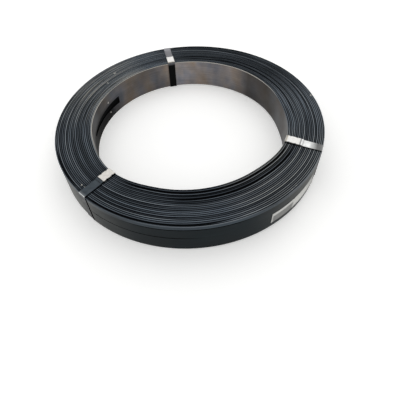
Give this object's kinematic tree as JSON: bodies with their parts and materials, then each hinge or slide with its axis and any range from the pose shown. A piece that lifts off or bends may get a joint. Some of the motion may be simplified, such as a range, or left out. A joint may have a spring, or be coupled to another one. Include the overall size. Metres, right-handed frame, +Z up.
{
  "type": "roll of steel strapping",
  "caption": "Flat roll of heavy steel strapping with an open bore, lying on its side, bound by narrow steel ties with crimped seals and a blank label on its outer turn.",
  "frame": {"origin": "on the floor under the roll, on the bore's axis", "axes": "+Z up along the bore's axis; +X to the viewer's right and +Y away from the viewer"},
  "size_m": [0.4216, 0.4216, 0.0553],
  "materials": {
    "strap_steel": "black paint and wax over steel, satin",
    "tie_steel": "blued, scuffed at the bends",
    "seal_steel": "bright zinc, satin",
    "label_paper": "matt, blank"
  },
  "bodies": {
    "root": {"strap_coil": "strap_steel", "tie_back": "tie_steel", "tie_left": "tie_steel", "tie_right": "seal_steel", "seal_back": "seal_steel", "seal_left": "seal_steel", "seal_right": "seal_steel", "label": "label_paper"}
  },
  "joints": []
}
